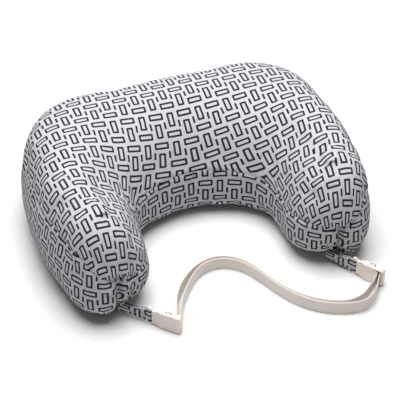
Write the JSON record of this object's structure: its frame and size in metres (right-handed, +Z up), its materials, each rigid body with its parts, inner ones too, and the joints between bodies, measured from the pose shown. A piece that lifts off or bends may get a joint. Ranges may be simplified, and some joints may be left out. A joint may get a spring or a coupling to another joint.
{
  "type": "nursing pillow",
  "caption": "U-shaped stuffed nursing pillow with a zipped printed cover and a webbing waist belt on two side-release buckles.",
  "frame": {"origin": "on the resting plane, in the middle of the base under the back section", "axes": "+Z up, arms towards -Y, +X from the left arm to the right arm seen from the arms' side"},
  "size_m": [0.5604, 0.5192, 0.19],
  "materials": {
    "printed_cotton": "light grey woven cotton, printed all over with charcoal outlined rectangles and dashes",
    "lining_cloth": "plain white woven polyester cotton",
    "polyester_fibre": "loose white fibre",
    "webbing": "cream woven webbing",
    "buckle_plastic": "moulded cream acetal, satin",
    "zip_tape": "grey woven tape",
    "zip_coil": "grey nylon coil",
    "zip_metal": "light grey enamel"
  },
  "bodies": {
    "pillow": {"cover_top_panel": "printed_cotton", "cover_outer_gusset": "printed_cotton", "cover_inner_gusset": "printed_cotton", "cover_bottom_panel": "printed_cotton", "inner_lining": "lining_cloth", "fibre_filling": "polyester_fibre", "zip_tape_upper": "zip_tape", "zip_tape_lower": "zip_tape", "zip_coil_upper": "zip_coil", "zip_coil_lower": "zip_coil", "zip_end_stops": "zip_metal", "left_tab": "printed_cotton", "right_tab": "printed_cotton", "left_buckle_plug": "buckle_plastic", "right_buckle_plug": "buckle_plastic", "strap_front_layer": "webbing", "strap_back_layer": "webbing"},
    "left_socket": {"left_buckle_socket": "buckle_plastic", "left_strap_fold": "webbing"},
    "right_socket": {"right_buckle_socket": "buckle_plastic", "right_strap_fold": "webbing"},
    "left_upper_prong": {"left_prong_upper": "buckle_plastic"},
    "left_lower_prong": {"left_prong_lower": "buckle_plastic"},
    "right_upper_prong": {"right_prong_upper": "buckle_plastic"},
    "right_lower_prong": {"right_prong_lower": "buckle_plastic"},
    "slider": {"zip_slider": "zip_metal"},
    "pull": {"zip_pull": "zip_metal"}
  },
  "joints": [
    {"name": "left_buckle_release", "type": "slide", "parent": "pillow", "child": "left_socket", "axis": [0.7071, -0.7071, 0], "range_m": [0, 0.04], "deforming": ["strap_front_layer", "strap_back_layer", "left_prong_upper", "left_prong_lower"]},
    {"name": "left_prong_squeeze", "type": "hinge", "parent": "pillow", "child": "left_upper_prong", "pos_m": [-0.13294, -0.34306, 0.0277], "axis": [0.7071, 0.7071, 0], "range_deg": [0, 9], "stiffness_Nm_per_rad": 0.02},
    {"name": "left_prong_follow", "type": "hinge", "parent": "pillow", "child": "left_lower_prong", "pos_m": [-0.13294, -0.34306, 0.0069], "axis": [0.7071, 0.7071, 0], "range_deg": [-9, 0], "stiffness_Nm_per_rad": 0.02},
    {"name": "right_buckle_release", "type": "slide", "parent": "pillow", "child": "right_socket", "axis": [0.5864, -0.81, 0], "range_m": [0, 0.04], "deforming": ["strap_front_layer", "strap_back_layer", "right_prong_upper", "right_prong_lower"]},
    {"name": "right_prong_squeeze", "type": "hinge", "parent": "pillow", "child": "right_upper_prong", "pos_m": [0.2224, -0.34882, 0.0277], "axis": [0.81, 0.5864, 0], "range_deg": [0, 9], "stiffness_Nm_per_rad": 0.02},
    {"name": "right_prong_follow", "type": "hinge", "parent": "pillow", "child": "right_lower_prong", "pos_m": [0.2224, -0.34882, 0.0069], "axis": [0.81, 0.5864, 0], "range_deg": [-9, 0], "stiffness_Nm_per_rad": 0.02},
    {"name": "zip_slide", "type": "slide", "parent": "pillow", "child": "slider", "axis": [-1, 0, 0], "range_m": [0, 0.24], "deforming": ["zip_tape_upper", "zip_tape_lower", "zip_coil_upper", "zip_coil_lower"]},
    {"name": "zip_pull_flip", "type": "hinge", "parent": "slider", "child": "pull", "pos_m": [0.1231, 0.09705, 0.06], "axis": [1, 0, 0], "range_deg": [0, 165]}
  ],
  "couplings": [
    {"joint": "left_prong_follow", "follows": "left_prong_squeeze", "ratio": -1},
    {"joint": "right_prong_follow", "follows": "right_prong_squeeze", "ratio": -1}
  ]
}
